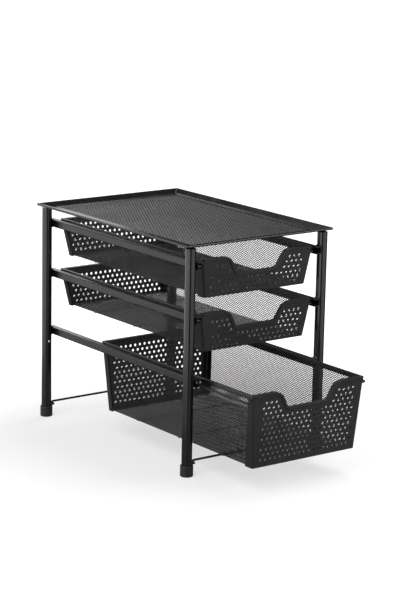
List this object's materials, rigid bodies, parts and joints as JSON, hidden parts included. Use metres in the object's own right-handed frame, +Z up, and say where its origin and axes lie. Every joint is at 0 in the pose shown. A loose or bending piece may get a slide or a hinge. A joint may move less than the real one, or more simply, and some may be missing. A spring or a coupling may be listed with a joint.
{
  "type": "countertop organizer with drawers",
  "caption": "Countertop organizer: a shallow mesh tray on round tube legs over mesh drawers with perforated, scooped fronts that slide on channel rails.",
  "frame": {"origin": "bottom centre of the whole object as stored, with the lower drawer pulled out", "axes": "+Z up, the drawers' fronts towards -Y, +X to the right seen from the front"},
  "size_m": [0.281, 0.532, 0.3555],
  "materials": {
    "black_tube": "satin powder coat",
    "black_sheet": "satin powder coat",
    "black_rail": "satin powder coat",
    "black_panel": "satin powder coat",
    "black_mesh": "satin powder coat",
    "black_wire": "satin powder coat",
    "foot_plastic": "moulded",
    "bright_button": "polished"
  },
  "bodies": {
    "stand": {"tray_frame": "black_sheet", "tray_mesh": "black_mesh", "tray_pegs": "black_tube", "upper_leg_front_left": "black_tube", "upper_leg_front_right": "black_tube", "upper_leg_rear_left": "black_tube", "upper_leg_rear_right": "black_tube", "lower_leg_front_left": "black_tube", "lower_leg_front_right": "black_tube", "lower_leg_rear_left": "black_tube", "lower_leg_rear_right": "black_tube", "leg_sleeves": "black_tube", "foot_front_left": "foot_plastic", "foot_front_right": "foot_plastic", "foot_rear_left": "foot_plastic", "foot_rear_right": "foot_plastic", "left_rail_upper": "black_rail", "right_rail_upper": "black_rail", "left_rail_middle": "black_rail", "right_rail_middle": "black_rail", "left_rail_lower": "black_rail", "right_rail_lower": "black_rail", "front_cross_rod": "black_wire", "rear_cross_rod": "black_wire", "rod_cleats": "black_rail"},
    "upper_drawer": {"upper_front_panel": "black_panel", "upper_back_panel": "black_panel", "upper_left_mesh": "black_mesh", "upper_right_mesh": "black_mesh", "upper_floor_mesh": "black_mesh", "upper_floor_ribs": "black_sheet", "upper_left_rim": "black_sheet", "upper_right_rim": "black_sheet", "upper_left_runner": "black_wire", "upper_right_runner": "black_wire"},
    "middle_drawer": {"middle_front_panel": "black_panel", "middle_back_panel": "black_panel", "middle_left_mesh": "black_mesh", "middle_right_mesh": "black_mesh", "middle_floor_mesh": "black_mesh", "middle_floor_ribs": "black_sheet", "middle_left_rim": "black_sheet", "middle_right_rim": "black_sheet", "middle_left_runner": "black_wire", "middle_right_runner": "black_wire"},
    "lower_drawer": {"lower_front_panel": "black_panel", "lower_back_panel": "black_panel", "lower_left_mesh": "black_mesh", "lower_right_mesh": "black_mesh", "lower_floor_mesh": "black_mesh", "lower_floor_ribs": "black_sheet", "lower_left_rim": "black_sheet", "lower_right_rim": "black_sheet", "lower_left_runner": "black_wire", "lower_right_runner": "black_wire"},
    "button_front_left": {"snap_button_front_left": "bright_button"},
    "button_front_right": {"snap_button_front_right": "bright_button"},
    "button_rear_left": {"snap_button_rear_left": "bright_button"},
    "button_rear_right": {"snap_button_rear_right": "bright_button"}
  },
  "joints": [
    {"name": "upper_drawer_slide", "type": "slide", "parent": "stand", "child": "upper_drawer", "axis": [0, -1, 0], "range_m": [0, 0.25]},
    {"name": "middle_drawer_slide", "type": "slide", "parent": "stand", "child": "middle_drawer", "axis": [0, -1, 0], "range_m": [0, 0.25]},
    {"name": "lower_drawer_slide", "type": "slide", "parent": "stand", "child": "lower_drawer", "axis": [0, -1, 0], "range_m": [-0.1285, 0.12]},
    {"name": "front_left_button_press", "type": "slide", "parent": "stand", "child": "button_front_left", "axis": [0, -1, 0], "range_m": [0, 0.0033], "stiffness_N_per_m": 1500},
    {"name": "front_right_button_press", "type": "slide", "parent": "stand", "child": "button_front_right", "axis": [0, -1, 0], "range_m": [0, 0.0033], "stiffness_N_per_m": 1500},
    {"name": "rear_left_button_press", "type": "slide", "parent": "stand", "child": "button_rear_left", "axis": [0, 1, 0], "range_m": [0, 0.0033], "stiffness_N_per_m": 1500},
    {"name": "rear_right_button_press", "type": "slide", "parent": "stand", "child": "button_rear_right", "axis": [0, 1, 0], "range_m": [0, 0.0033], "stiffness_N_per_m": 1500}
  ]
}
